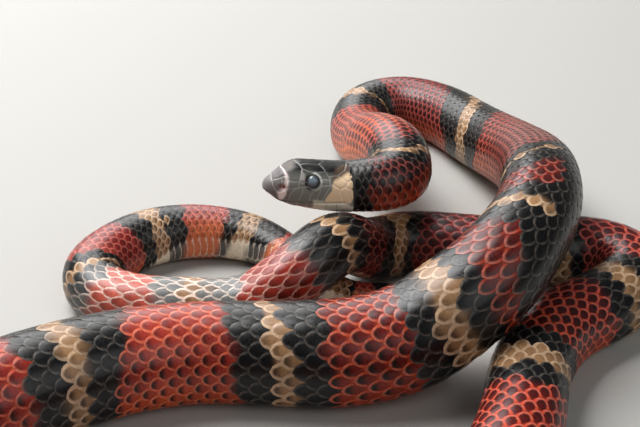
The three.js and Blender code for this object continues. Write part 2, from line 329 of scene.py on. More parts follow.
# markings: each ring is red, black, pale, black, red along the body
rings = {
    # place, black before, black behind, half the pale band, slant, bow (millimetres)
    "list": [
        (18, -7, 7, 1.0, 0, 9), (112, -15, 10, 2.2, 0, 0), (168.5, -18, 17, 3, 40, 0),
        (257, -7, 10, 0.5, 20, 0), (287.5, -8, 11, 1.5, 6, 5), (321.5, -9.5, 13.5, 3, -6, 3),
        (377, -16.5, 13.5, 2.3, 15, 0), (436, -18.8, 14.5, 2.3, 0, 1.5),
        (495.4, -13, 12, 3.3, 2, 2), (554.2, -13, 12, 3.3, 0, 0), (613.1, -13, 12, 3.3, 2, 2),
        (671.9, -13, 12, 3.3, 0, 0), (730.8, -13, 12, 3.3, 2, 2), (789.6, -13, 12, 3.3, 0, 0),
        (848.5, -13, 13, 3.3, 2, 2), (903.5, -11, 11, 3.2, 0, 0), (950.5, -9, 11, 3, 0, 0),
        (1002, -10.5, 11.5, 3, 0, 7), (1036.5, -7, 11, 1.0, 0, 0),
        (1084.3, -19.5, 11.5, 2.4, 0, 0), (1119.5, -8.5, 6.5, 0.9, 8, 3),
        (1153.7, -11, 11, 2.5, 4, 0), (1186, -8.5, 13, 2.8, 8, 0), (1229.5, -9, 4, 2.4, 0, 0),
        (1246, -7.5, 7, 2, 0, 0), (1265, -6, 6, 1.8, 0, 0), (1281, -5, 5, 1.4, 0, 0),
    ],
    # where the front edge of the black slants otherwise than its ring
    "frontSlant": {377: 0.0, 436: -19.8},
    # one pale band ends on the right flank, and one black narrows down the left
    "pinched": 112, "pinch": (-0.08, 0.06), "pinchTo": 1.02,
    "narrowed": 168.5, "narrowing": (0.3, 0.7), "narrower": 0.35, "thinnest": 0.5,
    "napeBlack": 4.5, "tipBlack": 1288.0, "widerBelow": 0.6, "redFade": 5.0,
    "insideBlack": (1.35, 1.6),
    # the right flank is all black below a line on one bend
    "darkPlace": [176, 187, 205, 242, 247, 265, 280, 289, 296.5, 300, 303, 309, 320],
    "darkBelow": [-1.3, -0.45, -0.3, -0.24, -0.16, -0.17, -0.11, -0.2, -0.14, -0.2, -0.27, -0.39,
                  -1.3],
    # how far the body is turned about its own length, as a share of half the perimeter
    "rollPlace": [300, 340, 470, 640, 1128, 1141, 1150, 1160, 1167, 1176.5, 1183, 1189, 1195, 1202,
                  1220, 1262],
    "roll": [0, -0.032, -0.032, 0, 0, -0.02, -0.12, -0.238, -0.308, -0.338, -0.328, -0.388, -0.398,
             -0.488, -0.45, 0],
}


def rollAt(s):
    return along(rings["rollPlace"], rings["roll"], s)


# 0 in the middle of a pale band, 1 at its edge, 2 at the edge of the black, 3 in the red
def bandAt(s, q):
    band = np.full(np.shape(s), 3.0)
    for place, before, behind, half, slant, bow in rings["list"]:
        centre = place + slant * np.sin(np.pi * q) / np.pi
        centre = centre + bow * (1 - np.cos(2 * np.pi * q)) / 2
        d = s - centre
        pale = half * (1 + rings["widerBelow"] * q**2)
        if place == rings["pinched"]:
            pale = pale * (rings["pinchTo"] - smooth(*rings["pinch"], q))
        if place in rings["frontSlant"]:
            turned = rings["frontSlant"][place] - slant
            before = before + turned * np.sin(np.pi * q) / np.pi
        edge = np.where(d < 0, -before, behind)
        if place == rings["narrowed"]:
            edge = edge * (1 - rings["narrower"] * smooth(*rings["narrowing"], q))
        away = np.abs(d)
        value = np.where(
            away < pale,
            away / pale,
            np.where(
                away < edge,
                1 + (away - pale) / np.maximum(edge - pale, rings["thinnest"]),
                2 + (away - edge) / rings["redFade"],
            ),
        )
        band = np.minimum(band, value)
    dark = q < along(rings["darkPlace"], rings["darkBelow"], s)
    band = np.where(dark, np.clip(band, *rings["insideBlack"]), band)
    nape = 2 + (s - rings["napeBlack"]) / rings["redFade"]
    tip = 2 - (s - rings["tipBlack"]) / rings["redFade"]
    band = np.where(nape < 2.9, np.minimum(band, np.maximum(nape, 1.4)), band)
    return np.where(s > rings["tipBlack"], np.clip(tip, 1.4, 2), band)


# how the coat looks along the body: distance from the nape, colours and amounts
coat = {
    "red": [
        # place, middle of the scale, its margin, low flank, black tip, size of the middle
        (6, "#1c0b0b", "#5c2020", "#9c3c24", 0.9, 0.85),
        (20, "#260d0d", "#6c2626", "#b84820", 0.85, 0.85),
        (30, "#300e0c", "#8a2c26", "#c85020", 0.7, 0.85),
        (42, "#5c1a10", "#b44826", "#e46a1c", 0.7, 0.74),
        (75, "#5c1a10", "#ac4222", "#e46a1c", 0.7, 0.74),
        (100, "#541812", "#9c3e34", "#cc622e", 0.6, 0.76),
        (130, "#38100e", "#843230", "#b0502e", 0.75, 0.8),
        (160, "#300e0e", "#84302c", "#b04e2c", 0.75, 0.84),
        (200, "#40100c", "#96382a", "#cc622c", 0.65, 0.86),
        (230, "#40100e", "#8c3026", "#c05a2c", 0.65, 0.9),
        (300, "#480e0a", "#822a1c", "#8c3220", 0.7, 0.97),
        (348, "#580f0a", "#a83c20", "#a03414", 0.85, 1.0),
        (405, "#922c20", "#c25438", "#c05424", 0.8, 1.02),
        (470, "#7c201a", "#b04430", "#b84a24", 0.75, 1.02),
        (700, "#6c1812", "#ac3e2a", "#a83c18", 0.6, 1.0),
        (865, "#3c0c0c", "#b03c26", "#b44424", 0.6, 0.92),
        (960, "#481012", "#9c3630", "#ac4028", 0.5, 0.95),
        (1030, "#260909", "#5c1814", "#6c2014", 0.6, 0.95),
        (1052, "#842014", "#b4442c", "#a43c28", 0.5, 1.1),
        (1085, "#aa4434", "#c4604c", "#cc5c38", 0.4, 1.12),
        (1105, "#b45444", "#c86a54", "#cc5c38", 0.35, 1.1),
        (1135, "#6c1a16", "#963a32", "#b85034", 0.55, 0.9),
        (1180, "#741c18", "#a04034", "#c87048", 0.45, 0.88),
        (1296, "#842822", "#b85440", "#c87048", 0.3, 0.8),
    ],
    "black": ("#08080a", "#30302e"),
    "pale": ("#8a6848", "#ac8e70"),
    "belly": {"red": "#cc7048", "black": "#55534f", "pale": "#e8dcc4"},
    "skin": {"red": "#9a3420", "black": "#302e2c", "pale": "#a08264"},
    "flank": (0.38, 0.72), "flankMiddle": 0.75, "flankSmaller": 0.14, "toneSpread": 0.16,
    # black tips: from the spine to the sides, share at both, and on pale scales
    "tipSide": (0.02, 0.4), "tipShare": (0.5, 0.7), "paleTip": 0.8,
    # sizes of the middles, and how strong the painted highlight on the rims of each kind of scale
    # is
    "paleSize": 0.95, "blackSize": 1.12, "paleRimHighlight": 0.1, "blackRimHighlight": 0.05, "redRimHighlight": 0.08,
    # where the margins turn pale, like a net
    "netPlace": [1042, 1054, 1074, 1108, 1118], "net": [0, 0.3, 0.65, 0.65, 0],
    # there the middles of black scales take a painted grey sheen, and the painted rim highlights
    # grow stronger
    "netColour": "#e0d0c4", "netSheenGrey": "#7c7e7c", "netSheen": 0.9, "netRimHighlight": 0.3,
}
redPlaces = [row[0] for row in coat["red"]]


def redAt(s, column):
    values = [row[column] for row in coat["red"]]
    if isinstance(values[0], str):
        values = np.array([colour(v) for v in values])
        return np.stack([np.interp(s, redPlaces, values[:, k]) for k in range(3)], -1)
    return np.interp(s, redPlaces, values)


# shares of pale, black and red for a band value
def sharesOf(band, soft=0.12):
    red = smooth(2 - soft, 2 + soft, band)
    pale = 1 - smooth(1 - soft, 1 + soft, band)
    return pale[..., None], (1 - red - pale)[..., None], red[..., None]


# colours moved a share of the way to another
def toward(values, code, share):
    return values * (1 - share) + np.array(colour(code)) * share


# colours of a scale's middle and margin, and the size of its middle, its tip and the painted
# highlight on its rim
def coatColours(s, q, band, tone):
    pale, black, red = sharesOf(band)
    flank = smooth(*coat["flank"], np.abs(q))[..., None]
    part = coat["flankMiddle"] * flank
    redMiddle = redAt(s, 1) * (1 - part) + redAt(s, 3) * part
    redMargin = redAt(s, 2) * (1 - flank) + redAt(s, 3) * flank
    middle, margin = (
        pale * colour(coat["pale"][k]) + black * colour(coat["black"][k]) + red * own
        for k, own in ((0, redMiddle), (1, redMargin))
    )
    low = smooth(*coat["tipSide"], np.abs(q))[..., None]
    least, more = coat["tipShare"]
    tip = redAt(s, 4)[..., None] * red * (least + more * low) + coat["paleTip"] * low * pale
    size = redAt(s, 5)[..., None] * red + coat["paleSize"] * pale + coat["blackSize"] * black
    size = size * (1 - coat["flankSmaller"] * flank)
    # strength of the painted highlight along the rim
    rim = coat["redRimHighlight"] * red + coat["paleRimHighlight"] * pale + coat["blackRimHighlight"] * black
    gain = (1 + coat["toneSpread"] * (tone - 0.5) * 2)[..., None]
    net = np.interp(s, coat["netPlace"], coat["net"])[..., None]
    margin = toward(margin, coat["netColour"], net)
    # painted grey sheen on the middles of black scales where the net is
    middle = toward(middle, coat["netSheenGrey"], coat["netSheen"] * net * black)
    amounts = np.concatenate([size, np.clip(tip, 0, 1), rim + coat["netRimHighlight"] * net], -1)
    return middle * gain, margin * gain, amounts


# scales of the back and sides
lattice = {
    "rows": 11,  # each side of the row along the spine
    "edge": 0.738,  # where the belly plates begin
    # length of a scale along the body
    "pitchPlace": [0, 18, 36, 60, 90, 110, 130, 160, 200, 250, 340, 420, 700, 900, 1000, 1050,
                   1105, 1130, 1152, 1296],
    "pitch": [2.0, 2.2, 3.5, 4.2, 4.1, 3.2, 2.9, 3.5, 4.7, 5.2, 6.0, 5.9, 5.8, 5.4, 5.2, 5.6,
              5.6, 4.0, 2.9, 1.9],
    # rows that end or start, in pairs on both sides, and where
    "ends": {(6, 7): 780, (8, 9): 1185, (4, 5): 1222, (10, 11): 1252, (1, 2): 1277},
    "starts": {(5, 6): 100, (8, 9): 62},
    "endRun": 12.0, "thinnest": 0.3, "from": -9.0, "step": 0.25, "last": 1.5,
    "firstOnCrown": -1.4, "firstOnSide": 0.6, "crown": 0.24,
    "long": 1.2, "wide": 0.93, "narrowRed": 0.1, "blunt": 2.5, "waist": 0.66, "skew": 0.88,
    "templateRows": 7, "templateColumns": 6,
    "lowFront": -0.40, "riseBack": 0.50, "risePower": 0.7, "crowned": 0.16, "under": 0.6,
    "usual": 3.1,  # the row spacing that these heights belong to
    "vent": 1127.7, "seenBehind": 0.1, "ownBand": 0.3, "uneven": 0.09, "aboveFloor": 0.02,
    "slimBand": (1.9, 2.1), "slimSide": (0.08, 0.3),
    "parts": [("scales_neck", -9, 150), ("scales_fore", 150, 460), ("scales_middle", 460, 790),
              ("scales_hind", 790, 1120), ("scales_tail", 1120, 1310)],
    "seed": 11,
}


def pitchAt(s):
    return along(lattice["pitchPlace"], lattice["pitch"], np.clip(s, 0, bodyLength))


def rowWeights(s):
    weights = np.ones((lattice["rows"] + 1,) + np.shape(s))
    for pair, place in lattice["ends"].items():
        fade = 1 - smooth(place - lattice["endRun"], place, s)
        for row in pair:
            weights[row] = fade
    for pair, place in lattice["starts"].items():
        for row in pair:
            weights[row] = weights[row] * smooth(place, place + lattice["endRun"], s)
    return weights


# where each row runs round the body, and its spacing, as shares of half the perimeter
def rowPlaces(s):
    weights = rowWeights(s)
    steps = (weights[1:] + weights[:-1]) / 2
    total = steps.sum(0) + weights[-1] / 2
    places = np.concatenate([np.zeros((1,) + np.shape(s)), np.cumsum(steps, 0)]) / total
    return places * lattice["edge"], lattice["edge"] / total, weights


# centres of all scales: distance, share round the body, row, spacing in millimetres, pitch
def scaleCentres():
    fine = np.arange(lattice["from"], bodyLength, lattice["step"])
    phase = np.cumsum(lattice["step"] / pitchAt(fine))
    thinnest = lattice["thinnest"]
    found = []
    for row in range(-lattice["rows"], lattice["rows"] + 1):
        shift = 0.5 * (row % 2)
        steps = np.arange(math.ceil(phase[0] - shift), math.floor(phase[-1] - shift) + 1)
        s = np.interp(steps + shift, phase, fine)
        places, spacing, weights = rowPlaces(s)
        q = places[abs(row)] * np.sign(row)
        onCrown = np.abs(q) < lattice["crown"]
        start = np.where(onCrown, lattice["firstOnCrown"], lattice["firstOnSide"])
        keep = (weights[abs(row)] > thinnest) & (s > start) & (s < bodyLength - lattice["last"])
        width = spacing * halfPerimeter * radiusAt(s) * np.clip(weights[abs(row)], thinnest, 1)
        for k in np.flatnonzero(keep):
            found.append((s[k], q[k], row, width[k], pitchAt(s[k]), steps[k] + shift))
    return np.array(found)


# one scale in shares of its length and width: a rounded net with its faces and rim, and last
# the point under it that closes it
def scaleTemplate(rows, columns):
    t, v = [0.0], [0.0]
    for r in range(1, rows + 1):
        for c in range(columns):
            t.append(r / (rows + 1))
            v.append(-1 + 2 * c / (columns - 1))
    last = len(t)
    t += [1.0, 0.5]
    v += [0.0, 0.0]
    at = lambda r, c: 1 + (r - 1) * columns + c
    faces = []
    for c in range(columns - 1):
        faces.append((at(1, c), at(1, c + 1), 0))
        faces.append((at(rows, c + 1), at(rows, c), last))
    for r in range(1, rows):
        for c in range(columns - 1):
            faces.append((at(r, c), at(r, c + 1), at(r + 1, c + 1), at(r + 1, c)))
    rim = [0] + [at(r, columns - 1) for r in range(1, rows + 1)] + [last]
    rim += [at(r, 0) for r in range(rows, 0, -1)]
    return np.array(t), np.array(v), faces, rim


# the places of a mesh's vertices, metres
def vertexPlaces(mesh):
    flat = np.zeros(len(mesh.vertices) * 3, np.float32)
    mesh.vertices.foreach_get("co", flat)
    return flat.reshape(-1, 3)


# a vector for each vertex, or a colour where the name says so
def setAttribute(mesh, name, values):
    kind, item = "FLOAT_VECTOR", "vector"
    if name.endswith("Colour"):
        kind, item = "FLOAT_COLOR", "color"
        values = np.concatenate([values, np.ones(values.shape[:-1] + (1,))], -1)
    made = mesh.attributes.new(name, kind, "POINT")
    made.data.foreach_set(item, values.ravel().astype(np.float32))


# a piece's patch of the UV map: middle and share of it for the top and for the underside
patchParts = {"top": (0.46, 0.86), "under": (0.95, 0.02)}
creaseAngle = math.radians(50)
weldDistance = 0.0000005  # metres


# a mesh of many like pieces: their points, one template's faces and rim, the attributes, and
# the corner and size of each piece's patch in the UV map
def joinedMesh(name, points, faces, rim, marks, inner, corner, extent, material):
    count, size = points.shape[:2]
    under = [(b, a, size - 1) for a, b in zip(rim, rim[1:] + rim[:1])]
    copies = [tuple(i + k * size for i in f) for k in range(count) for f in faces + under]
    mesh = bpy.data.meshes.new(name)
    mesh.from_pydata(points.reshape(-1, 3) * 0.001, [], copies)
    uvs = []
    for part, chosen in (("top", faces), ("under", under)):
        middle, share = patchParts[part]
        uvs.append([middle, 0.5] + (inner[[k for f in chosen for k in f]] - 0.5) * share)
    uv = corner[:, None] + np.concatenate(uvs) * extent
    layer = mesh.uv_layers.new(name="OFBake")
    layer.data.foreach_set("uv", uv.reshape(-1).astype(np.float32))
    for key, values in zip(("cell", "shape", "middleColour", "marginColour"), marks):
        setAttribute(mesh, key, values)
    mesh.validate()
    mesh.materials.append(material)
    piece = bpy.data.objects.new(name, mesh)
    bpy.context.scene.collection.objects.link(piece)
    bpy.ops.object.select_all(action="DESELECT")
    piece.select_set(True)
    bpy.context.view_layer.objects.active = piece
    bpy.ops.object.shade_smooth_by_angle(angle=creaseAngle)
    piece.select_set(False)
    print(name, count, "pieces")
    return piece


# the last point of a template lies under the piece and closes it
def closing(t, depth):
    return np.where(np.arange(len(t)) == len(t) - 1, -depth, 0)


# points on the body's surface, kept off the floor
def laidPoints(s, q, lift):
    points = surfacePoint(s, q, lift)
    points[..., 2] = np.maximum(points[..., 2], lattice["aboveFloor"])
    return points


def makeScales(material):
    centres = scaleCentres()
    random = np.random.default_rng(lattice["seed"])
    tones = random.random(len(centres))
    wobble = random.normal(0, lattice["uneven"], len(centres))
    t, v, faces, rim = scaleTemplate(lattice["templateRows"], lattice["templateColumns"])
    outline = (1 - np.abs(2 * t ** lattice["skew"] - 1) ** lattice["blunt"]) ** lattice["waist"]
    inner = np.stack([t, 0.5 + 0.5 * v * outline], -1)
    height = lattice["lowFront"] + lattice["riseBack"] * t ** lattice["risePower"]
    height = height + lattice["crowned"] * (1 - v**2) * np.sin(np.pi * t)
    height = height + closing(t, lattice["under"])
    pieces = []
    for name, low, high in lattice["parts"]:
        chosen = (centres[:, 0] >= low) & (centres[:, 0] < high)
        s0, q0, row, d, pitch, step = centres[chosen].T[:, :, None]
        tone, edge = tones[chosen][:, None], wobble[chosen][:, None]
        u = (t - 0.5) * lattice["long"] * pitch
        same = 0 * u
        seen = s0 + lattice["seenBehind"] * pitch
        # red scales off the spine are a little slimmer
        slim = lattice["narrowRed"] * smooth(*lattice["slimBand"], bandAt(seen, q0))
        slim = slim * smooth(*lattice["slimSide"], np.abs(q0))
        across = v * outline * (lattice["wide"] - slim) * d
        reach = across / (halfPerimeter * radiusAt(s0))
        points = laidPoints(s0 + u, q0 + rollAt(s0 + u) + reach, height * d / lattice["usual"])
        own = lattice["ownBand"]
        band = (1 - own) * bandAt(seen, q0) + own * bandAt(s0 + u, q0 + reach) + edge
        middle, margin, shape = coatColours(s0 + same, q0 + same, band, tone + same)
        cell = np.stack([u / pitch, across / d, tone + same], -1)
        # each row of scales is a row of patches
        step, rows = step[:, 0], 2 * lattice["rows"] + 1
        columns = step.max() - step.min() + 1
        corner = np.stack([(step - step.min()) / columns, (row[:, 0] + lattice["rows"]) / rows], -1)
        pieces.append(joinedMesh(
            name, points, faces, rim, (cell, shape, middle, margin),
            inner, corner, [1 / columns, 1 / rows], material,
        ))
    return pieces


# plates across the belly, and two rows of them under the tail
scutes = {
    "edge": 0.728, "long": 1.3, "columns": 15, "rows": 4,
    "lowFront": -0.34, "rise": 0.4, "first": -6.0, "last": 2.0, "under": 0.5,
    "bowed": 0.28, "corners": 0.22, "forward": 0.1, "overlap": 1.02,
    "ownBand": 0.6, "soft": 0.25, "margin": "#efe4d2", "marginShare": 0.55,
    # line is the strength of the painted highlight on a plate's rim
    "size": 1.6, "line": 0.15, "patchRows": 12, "seed": 5,
}


def scuteTemplate(rows, columns):
    t, v = np.meshgrid(np.linspace(0, 1, rows + 1), np.linspace(-1, 1, columns), indexing="ij")
    at = lambda r, c: r * columns + c
    faces = [
        (at(r, c), at(r, c + 1), at(r + 1, c + 1), at(r + 1, c))
        for r in range(rows) for c in range(columns - 1)
    ]
    rim = [at(0, c) for c in range(columns - 1, -1, -1)] + [at(r, 0) for r in range(1, rows + 1)]
    rim += [at(rows, c) for c in range(1, columns)]
    rim += [at(r, columns - 1) for r in range(rows - 1, 0, -1)]
    return np.append(t, 0.5), np.append(v, 0.0), faces, rim


# distance, share round the body and half width of each plate
def scuteCentres():
    fine = np.arange(scutes["first"], bodyLength, lattice["step"])
    phase = np.cumsum(lattice["step"] / pitchAt(fine))
    whole = np.interp(np.arange(1, phase[-1]), phase, fine)
    half = 1 - scutes["edge"]
    found = [(s, 1.0, half) for s in whole[whole < lattice["vent"]]]
    for s in whole[(whole >= lattice["vent"]) & (whole < bodyLength - scutes["last"])]:
        found.append((s, 1 - half / 2, half / 2 * scutes["overlap"]))
        found.append((s + pitchAt(s) / 2, 1 + half / 2, half / 2 * scutes["overlap"]))
    return np.array(found)


# heights of scales and plates grow with the spacing of the rows
def heightShare(s):
    return halfPerimeter * radiusAt(s) * lattice["edge"] / lattice["rows"] / lattice["usual"]


# the colours of the rings, mixed by how far a point is from their edges
def mixedColours(codes, band, soft):
    names = ("pale", "black", "red")
    return sum(share * colour(codes[name]) for share, name in zip(sharesOf(band, soft), names))


def makeScutes(material):
    s0, q0, reach = scuteCentres().T[:, :, None]
    t, v, faces, rim = scuteTemplate(scutes["rows"], scutes["columns"])
    pitch = pitchAt(s0)
    bowed = pitch * (scutes["bowed"] * (1 - v**2) - scutes["corners"] * np.abs(v) ** 6)
    u = (t - 0.5) * scutes["long"] * pitch + bowed * t - scutes["forward"] * pitch
    plain, same = q0 + v * reach, 0 * u
    height = scutes["lowFront"] + scutes["rise"] * t + closing(t, scutes["under"])
    points = laidPoints(s0 + u, plain + rollAt(s0 + u), height * heightShare(s0))
    wrapped, own = (plain + 1) % 2 - 1, scutes["ownBand"]
    band = (1 - own) * bandAt(s0, wrapped) + own * bandAt(s0 + u, wrapped)
    middle = mixedColours(coat["belly"], band, scutes["soft"])
    margin = toward(middle, scutes["margin"], scutes["marginShare"])
    tone = np.random.default_rng(scutes["seed"]).random((len(s0), 1)) + same
    cell = np.stack([u / pitch, v + same, tone], -1)
    shape = np.stack([scutes["size"] + same, same, scutes["line"] + same], -1)
    index, rows = np.arange(len(s0)), scutes["patchRows"]
    columns = math.ceil(len(s0) / rows)
    corner = np.stack([(index % columns) / columns, (index // columns) / rows], -1)
    return joinedMesh(
        "belly_scutes", points, faces, rim, (cell, shape, middle, margin),
        np.stack([t, 0.5 + 0.5 * v], -1), corner, [1 / columns, 1 / rows], material,
    )


# the skin that shows between the scales
skin = {
    "ringStep": 1.5, "sides": 64, "inset": 0.3, "leastInset": 0.1, "from": -2.0, "last": 0.5,
    "lowest": 0.3, "soft": 0.2,
}


# a ring drawn in to its middle, which closes a tube
def drawnIn(ring):
    return ring.mean(1, keepdims=True).repeat(ring.shape[1], 1)


# welds the active mesh, turns its faces outward and shades it smooth
def finishActive():
    bpy.ops.object.mode_set(mode="EDIT")
    bpy.ops.mesh.select_all(action="SELECT")
    bpy.ops.mesh.remove_doubles(threshold=weldDistance)
    bpy.ops.mesh.normals_make_consistent(inside=False)
    bpy.ops.object.mode_set(mode="OBJECT")
    bpy.ops.object.shade_smooth()


# a grid primitive bent to a closed tube: rows are rings, the ends and the long edge are welded
def tubeFromGrid(name, points):
    rows, sides = points.shape[0] - 1, points.shape[1] - 1
    bpy.ops.object.select_all(action="DESELECT")
    bpy.ops.mesh.primitive_grid_add(x_subdivisions=sides, y_subdivisions=rows, size=2)
    piece = bpy.context.object
    piece.name = piece.data.name = name
    grid = vertexPlaces(piece.data)
    column = np.rint((grid[:, 0] + 1) / 2 * sides).astype(int)
    row = np.rint((grid[:, 1] + 1) / 2 * rows).astype(int)
    placed = (points[row, column] * 0.001).astype(np.float32)
    piece.data.vertices.foreach_set("co", placed.ravel())
    finishActive()
    print(name, len(piece.data.polygons), "faces")
    return piece


def pointTree(points):
    tree = KDTree(len(points))
    for k, point in enumerate(points):
        tree.insert(point, k)
    tree.balance()
    return tree


# for each vertex of a tube, the number of the nearest point that the tube was made from
def nearestPoints(piece, points):
    tree = pointTree(points.reshape(-1, 3))
    return np.array([tree.find(p)[1] for p in vertexPlaces(piece.data) * 1000])


def makeSkin(material):
    s = np.arange(skin["from"], bodyLength - skin["last"], skin["ringStep"])
    q = np.linspace(-1, 1, skin["sides"] + 1)
    share = heightShare(s)
    inset = np.maximum(skin["inset"] * share, skin["leastInset"])
    points = surfacePoint(s[:, None], q[None, :], -inset[:, None])
    lowest = skin["lowest"] * np.minimum(1, share)
    points[..., 2] = np.maximum(points[..., 2], lowest[:, None])
    points = np.concatenate([drawnIn(points[:1]), points, drawnIn(points[-1:])])
    piece = tubeFromGrid("skin", points)
    nearest = nearestPoints(piece, points)
    sHere, qHere = np.r_[s[0], s, s[-1]][nearest // len(q)], q[nearest % len(q)]
    wrapped = (qHere - rollAt(sHere) + 1) % 2 - 1
    between = mixedColours(coat["skin"], bandAt(sHere, wrapped), skin["soft"])
    net = np.interp(sHere, coat["netPlace"], coat["net"])[:, None]
    setAttribute(piece.data, "skinColour", toward(between, coat["netColour"], net))
    piece.data.materials.append(material)
    return piece


# how the coat is painted: noises have so many grains in a metre, so 1400 are about 0.7 mm
finish = {
    "behind": 0.04, "halfLong": 0.46, "halfWide": 0.6,  # the coloured middle of a scale
    # the rim colour is a painted highlight along the raised rear rim of a scale
    "uneven": 0.24, "rim": "#ffe0c8", "tip": "#0c0706",
    "mottle": 1400.0, "folds": 2200.0, "plateMottle": 500.0, "plateFine": 2500.0,
    "depth": 0.0001,  # of all grains, metres
}
usualNoise = {"From Min": 0.3, "From Max": 0.7}  # most of a noise lies between these


# shed-clean keratin over pigment: a waxy, softly glossy scale with a dark middle,
# a lighter margin and often a black rear tip
def scaleMaterial():
    material, add = newMaterial("smooth snake scale keratin")
    cell, shape, middle, margin = (
        add("Attribute", {"attribute_name": name})[kind]
        for name, kind in (
            ("cell", "Vector"), ("shape", "Vector"),
            ("middleColour", "Color"), ("marginColour", "Color"),
        )
    )
    lengthwise = add("SeparateXYZ", None, {0: cell})[0]
    size, black, line = add("SeparateXYZ", None, {0: shape})
    place = add("TexCoord")["Object"]
    mottle = add("TexNoise", {"Scale": finish["mottle"], "Detail": 3.0}, {"Vector": place})["Fac"]
    # distance from the middle of the scale, 1 at the edge of its coloured middle
    stretch = (1 / finish["halfLong"], 1 / finish["halfWide"], 0)
    shift = (-finish["behind"] / finish["halfLong"], 0, 0)
    away = add("VectorMath", {"operation": "MULTIPLY_ADD", 1: stretch, 2: shift}, {0: cell})[0]
    away = add("VectorMath", {"operation": "LENGTH"}, {0: away})["Value"]
    away = add("Math", {"operation": "DIVIDE"}, {0: away, 1: size})[0]
    ragged = add(
        "Math",
        {"operation": "MULTIPLY_ADD", 1: finish["uneven"], 2: -finish["uneven"] / 2}, {0: mottle},
    )[0]
    away = add("Math", {"operation": "ADD"}, {0: away, 1: ragged})[0]
    # the raised rim behind the middle carries a painted highlight, paler than the rest of the
    # margin, and the middle runs out into the margin in front and darkens to black at the rear
    inside, rim, rear, front, back = (
        add(
            "MapRange",
            {"interpolation_type": "SMOOTHSTEP", "From Min": low, "From Max": high, "To Max": most},
            {"Value": source},
        )[0]
        for source, low, high, most in (
            (away, 1.12, 0.78, 1.0), (away, 1.4, 1.2, 1.0), (lengthwise, 0.05, 0.4, 1.0),
            (lengthwise, -0.12, -0.5, 0.55), (lengthwise, -0.05, 0.36, 1.0),
        )
    )
    # the painted rim highlight shows only behind the middle, as strong as each scale asks
    for other in (rear, line):
        rim = add("Math", {"operation": "MULTIPLY"}, {0: rim, 1: other})[0]
    tip = add("Math", {"operation": "MULTIPLY"}, {0: back, 1: black})[0]
    field = add("Mix", {"data_type": "RGBA"}, {0: front, 6: middle, 7: margin})[2]
    edge, field = (
        add("Mix", {"data_type": "RGBA", 7: (*colour(code), 1)}, {0: amount, 6: under})[2]
        for code, amount, under in ((finish["rim"], rim, margin), (finish["tip"], tip, field))
    )
    base = add("Mix", {"data_type": "RGBA"}, {0: inside, 6: edge, 7: field})[2]
    gain, rough = (
        add("MapRange", usualNoise | {"To Min": low, "To Max": high}, {"Value": mottle})[0]
        for low, high in ((0.86, 1.12), (0.25, 0.38))
    )
    base = add("VectorMath", {"operation": "SCALE"}, {0: base, "Scale": gain})[0]
    bump = add("Bump", {"Strength": 0.12, "Distance": finish["depth"]}, {"Height": mottle})[0]
    shader = add(
        "BsdfPrincipled", {"IOR": 1.45, "Specular IOR Level": 0.35},
        {"Base Color": base, "Roughness": rough, "Normal": bump},
    )[0]
    add("OutputMaterial", None, {0: shader})
    return material


# soft skin between the scales: matt, a shade lighter than the scales
def skinMaterial():
    material, add = newMaterial("stretched skin between scales")
    between = add("Attribute", {"attribute_name": "skinColour"})["Color"]
    place = add("TexCoord")["Object"]
    folds = add("TexNoise", {"Scale": finish["folds"], "Detail": 2.0}, {"Vector": place})["Fac"]
    gain = add("MapRange", usualNoise | {"To Min": 0.8, "To Max": 1.15}, {"Value": folds})[0]
    base = add("VectorMath", {"operation": "SCALE"}, {0: between, "Scale": gain})[0]
    bump = add("Bump", {"Strength": 0.3, "Distance": finish["depth"]}, {"Height": folds})[0]
    shader = add(
        "BsdfPrincipled", {"IOR": 1.4, "Roughness": 0.6}, {"Base Color": base, "Normal": bump}
    )[0]
    add("OutputMaterial", None, {0: shader})
    return material


coatMaterial = scaleMaterial()
fleshNodes = ["neck"] + [f"body_{k:02d}" for k in range(1, 18)]
fleshNodes += [f"tail_{k:02d}" for k in range(1, 4)] + ["tail_tip"]

skinPiece = makeSkin(skinMaterial())
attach(skinPiece, "root")
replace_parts(skinPiece, *fleshNodes)

for piece in makeScales(coatMaterial) + [makeScutes(coatMaterial)]:
    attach(piece, "root")

